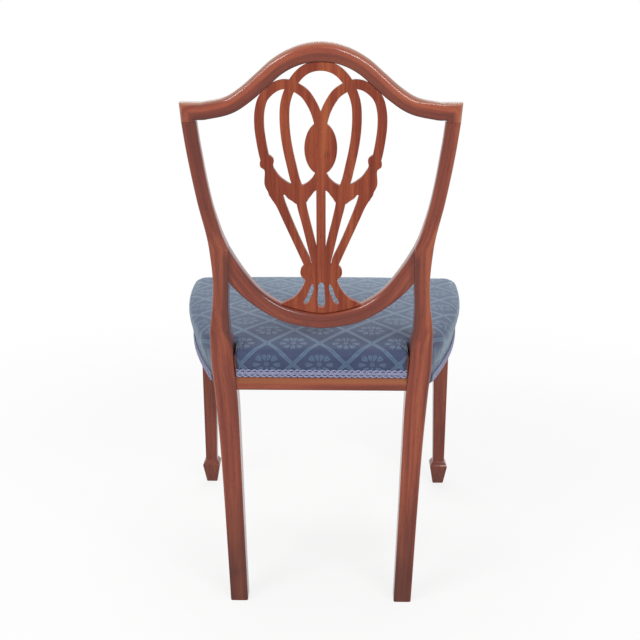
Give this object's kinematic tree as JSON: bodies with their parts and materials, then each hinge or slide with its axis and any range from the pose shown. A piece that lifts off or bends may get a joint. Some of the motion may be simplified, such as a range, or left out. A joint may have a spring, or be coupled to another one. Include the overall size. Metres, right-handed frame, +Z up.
{
  "type": "shield back dining chair",
  "caption": "Polished mahogany dining chair with a shield-shaped back, a pierced splat and an upholstered seat over webbing, for one person to sit at a table.",
  "frame": {"origin": "on the floor, under the middle of the chair's width and depth", "axes": "+Z up, the front of the chair faces -Y, and +X is the sitter's left"},
  "size_m": [0.5356, 0.5432, 0.9487],
  "materials": {
    "mahogany": "French polished",
    "splat_mahogany": "French polished",
    "beech": "bare, planed",
    "screw_steel": "bare",
    "webbing": "woven jute",
    "hessian": "open woven jute",
    "stuffing": "wadding",
    "damask": "woven, satin figure on a matt ground",
    "gimp": "looped braid"
  },
  "bodies": {
    "root": {"crest_rail": "mahogany", "shield_lower_rail": "mahogany", "pierced_splat": "splat_mahogany", "left_back_post": "mahogany", "right_back_post": "mahogany", "left_front_leg": "mahogany", "right_front_leg": "mahogany", "left_side_rail": "beech", "right_side_rail": "beech", "back_seat_rail": "mahogany", "front_seat_rail": "beech", "back_left_corner_block": "beech", "back_right_corner_block": "beech", "front_left_corner_block": "beech", "front_right_corner_block": "beech", "back_left_block_screw_to_back_rail": "screw_steel", "back_left_block_screw_to_side_rail": "screw_steel", "front_left_block_screw_to_front_rail": "screw_steel", "front_left_block_screw_to_side_rail": "screw_steel", "back_right_block_screw_to_back_rail": "screw_steel", "back_right_block_screw_to_side_rail": "screw_steel", "front_right_block_screw_to_front_rail": "screw_steel", "front_right_block_screw_to_side_rail": "screw_steel", "webbing_strip_1": "webbing", "webbing_strip_2": "webbing", "webbing_strip_3": "webbing", "webbing_strip_4": "webbing", "webbing_cross_strip_1": "webbing", "webbing_cross_strip_2": "webbing", "webbing_cross_strip_3": "webbing", "hessian_panel": "hessian", "seat_stuffing": "stuffing", "seat_cover": "damask", "back_gimp": "gimp", "side_gimp": "gimp"}
  },
  "joints": []
}
